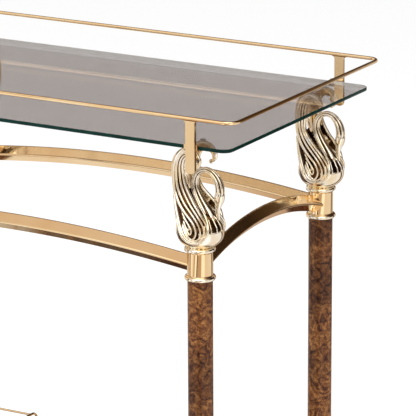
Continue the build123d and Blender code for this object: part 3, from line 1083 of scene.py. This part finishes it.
def paint_kept_nodes():
    """Gives the CAD parts that are shown as they are their procedural materials."""
    shown = dict.fromkeys(("tie_rods", "post_pins", "caster_stems"), STEEL)
    shown.update(glass_bumpers=PAD, shelf_pads=PAD)
    for corner in CORNERS:
        shown[f"caster_fork_{corner}"] = BRASS
        shown[f"caster_axle_{corner}"] = STEEL
        shown[f"caster_wheel_{corner}"] = BRASS
        shown[f"caster_tyre_{corner}"] = TYRE
    for name, material in shown.items():
        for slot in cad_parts[name].material_slots:
            slot.material = material


make_legs()
make_stretchers()
make_rail()
make_posts()
make_clips()
make_glass()
make_rack()
paint_kept_nodes()


# ---- floor, studio light and camera


FLOOR_SIZE = 60.0
PALE = (0.93, 0.93, 0.93, 1.0)
WHITE = (1.0, 1.0, 1.0, 1.0)
# Half the length and width of the painted shadow that reflections show under the cart; where its soft
# rim starts and ends, as shares of them; and how bright it is inside
UNDER_CART = (0.42, 0.26)
SHADE_RIM = (0.75, 1.15)
SHADE_LEVEL = 0.05


def studio_floor():
    """A wide pale floor; reflections see it glow in painted sectors, with a painted shadow under the
    cart.
    """
    bpy.ops.mesh.primitive_plane_add(size=FLOOR_SIZE)
    floor = bpy.context.object
    floor.name = "studio_floor"
    material, tree, shader = new_material("studio_floor")
    set_inputs(shader, {"Roughness": 0.9, "Specular IOR Level": 0.0, "Base Color": PALE})
    # Painted reflection: glossy rays see the floor glow in brighter and darker sectors.
    glossy_glow = tree.nodes.new("ShaderNodeEmission")
    sectors = ramp(tree, radial(tree, place(tree)), FLOOR_SECTORS)
    shrunk = tree.nodes.new("ShaderNodeVectorMath")
    shrunk.operation = "MULTIPLY"
    tree.links.new(place(tree), shrunk.inputs[0])
    shrunk.inputs[1].default_value = (1 / UNDER_CART[0], 1 / UNDER_CART[1], 0)
    reach = tree.nodes.new("ShaderNodeVectorMath")
    reach.operation = "LENGTH"
    tree.links.new(shrunk.outputs["Vector"], reach.inputs[0])
    # Painted shadow: the glow dims in the oval under the cart.
    shade = add(tree, "ShaderNodeMapRange", From_Min=SHADE_RIM[0], From_Max=SHADE_RIM[1],
                To_Min=SHADE_LEVEL)
    tree.links.new(reach.outputs["Value"], shade.inputs["Value"])
    tree.links.new(shade.outputs["Result"], glossy_glow.inputs["Strength"])
    tree.links.new(sectors, glossy_glow.inputs["Color"])
    path = tree.nodes.new("ShaderNodeLightPath")
    mix = tree.nodes.new("ShaderNodeMixShader")
    tree.links.new(path.outputs["Is Glossy Ray"], mix.inputs["Fac"])
    tree.links.new(shader.outputs["BSDF"], mix.inputs[1])
    tree.links.new(glossy_glow.outputs["Emission"], mix.inputs[2])
    tree.links.new(mix.outputs["Shader"], tree.nodes["Material Output"].inputs["Surface"])
    floor.data.materials.append(material)


def tone(level):
    """Grey, and warmer where it is dim."""
    warmth = max(0.0, 1 - level / 0.95)
    return (level * (1 + 0.50 * warmth), level * (1 - 0.12 * warmth), level * (1 - 0.55 * warmth))


def sector(degrees_from_x):
    """Where a direction round the cart falls in a radial gradient, 0 to 1."""
    return (degrees_from_x / 360 + 0.5) % 1.0


def stops(levels):
    """Colour stops from (direction in degrees from +X, brightness) pairs."""
    return sorted((sector(direction), tone(level)) for direction, level in levels)


# What reflections see round the cart: on the floor, by where it is seen, and in the room, by direction
FLOOR_SECTORS = stops([
    (-179, 0.75), (-152, 0.60), (-145, 0.08), (-139, 1.20), (-122, 1.10), (-116, 0.94), (-111, 0.82),
    (-107, 0.50), (-99, 0.50), (-95, 1.40), (-85, 1.35), (-81, 0.06), (-78, 0.06), (-74, 0.48),
    (-49, 0.52), (-43, 1.35), (-27, 1.30), (-15, 0.85), (32, 0.90), (45, 0.85), (49, 0.09), (59, 0.09),
    (64, 0.95), (72, 0.45), (104, 0.42), (130, 0.85), (160, 0.9),
])
UPPER_SECTORS = stops([
    (-175, 0.70), (-152, 0.68), (-132, 0.68), (-118, 1.6), (-90, 2.3), (-55, 2.1), (-20, 1.2), (5, 0.35),
    (30, 0.03), (65, 0.02), (75, 0.06), (82, 0.02), (100, 0.03), (140, 0.12), (165, 0.8),
])
HORIZON_SECTORS = stops([
    (-172, 1.2), (-160, 0.03), (-146, 0.03), (-138, 1.6), (-128, 0.03), (-112, 1.5), (-102, 0.03),
    (-84, 0.03), (-72, 1.7), (-60, 0.03), (-44, 0.04), (-32, 1.4), (-20, 0.03), (0, 0.9), (14, 0.04),
    (60, 0.03), (76, 0.7), (88, 0.04), (125, 0.10), (150, 0.9),
])
# Heights of the direction's Z where the horizon gives way to the upper room, and that to the ceiling
WALL_TOP = (0.28, 0.40)
CEILING = (0.92, 0.97)
CEILING_LIGHT = (1.7, 1.7, 1.7, 1.0)


def studio_world():
    """Soft white light all round; in reflections, a room with dark and bright panels and ceiling."""
    world = bpy.data.worlds.new("studio_world")
    bpy.context.scene.world = world
    world.use_nodes = True
    tree = world.node_tree
    background = tree.nodes["Background"]
    background.inputs["Strength"].default_value = 1.0
    direction = tree.nodes.new("ShaderNodeTexCoord").outputs["Generated"]
    share = radial(tree, direction)
    split = tree.nodes.new("ShaderNodeSeparateXYZ")
    tree.links.new(direction, split.inputs["Vector"])
    horizon = ramp(tree, share, HORIZON_SECTORS)
    upper = ramp(tree, share, UPPER_SECTORS)

    def blend(heights, first, second):
        """The first colour below the lower height, the second above the upper one."""
        rise = add(tree, "ShaderNodeMapRange", From_Min=heights[0], From_Max=heights[1])
        tree.links.new(split.outputs["Z"], rise.inputs["Value"])
        return mix_colours(tree, rise.outputs["Result"], first, second)

    walls = blend(WALL_TOP, horizon, upper)
    room = blend(CEILING, walls, CEILING_LIGHT)
    path = tree.nodes.new("ShaderNodeLightPath")
    chosen = mix_colours(tree, path.outputs["Is Glossy Ray"], WHITE, room)
    tree.links.new(chosen, background.inputs["Color"])


# What the two soft lamps point at
AIM = Vector((0, 0, 0.6))
STRIP_COLOUR = (1.0, 0.93, 0.78)
STRIP_TURN = radians(-7.8)


def area_lamp(name, place_at, size, power):
    """A square area lamp."""
    light = bpy.data.lights.new(name, "AREA")
    light.size = size
    light.energy = power
    lamp = bpy.data.objects.new(name, light)
    bpy.context.scene.collection.objects.link(lamp)
    lamp.location = place_at
    return lamp


def soft_lamp(name, place_at, size, power):
    """A lamp that lights the cart and is not seen in reflections."""
    lamp = area_lamp(name, place_at, size, power)
    lamp.rotation_euler = (AIM - Vector(place_at)).to_track_quat("-Z", "Y").to_euler()
    lamp.visible_glossy = False


def strip_light():
    """A long soft strip overhead, which the back stretcher's upper face mirrors."""
    lamp = area_lamp("strip_light", (-1.2, -0.46, 2.6), 1.7, 1.8)
    light = lamp.data
    light.shape = "RECTANGLE"
    light.size_y = 0.26
    light.color = STRIP_COLOUR
    lamp.rotation_euler = (0, 0, STRIP_TURN)


# The photograph's viewpoint: in front of the right end, looking slightly down
VIEWPOINT = (2.25527, -3.56117, 1.77933)
YAW, PITCH, ROLL = 29.936, 15.978, -0.2546
LENS = 268.81


def camera():
    """The camera at the photograph's viewpoint and angle."""
    yaw, pitch, roll = radians(YAW), radians(PITCH), radians(ROLL)
    forward = Vector((-sin(yaw) * cos(pitch), cos(yaw) * cos(pitch), -sin(pitch)))
    level = Vector((cos(yaw), sin(yaw), 0))
    over = level.cross(forward)
    right = level * cos(roll) + over * sin(roll)
    up = over * cos(roll) - level * sin(roll)
    data = bpy.data.cameras.new("camera")
    data.sensor_width = 36.0
    data.lens = LENS
    data.clip_end = 100.0
    viewer = bpy.data.objects.new("camera", data)
    bpy.context.scene.collection.objects.link(viewer)
    turn = Matrix((right, up, -forward)).transposed().to_4x4()
    viewer.matrix_world = Matrix.Translation(VIEWPOINT) @ turn
    bpy.context.scene.camera = viewer


studio_floor()
studio_world()
soft_lamp("key_light", (-1.2, -1.8, 2.6), 1.2, 40.0)
soft_lamp("fill_light", (2.4, -1.4, 2.2), 1.0, 15.0)
strip_light()
camera()
bpy.context.scene.view_settings.view_transform = "Standard"
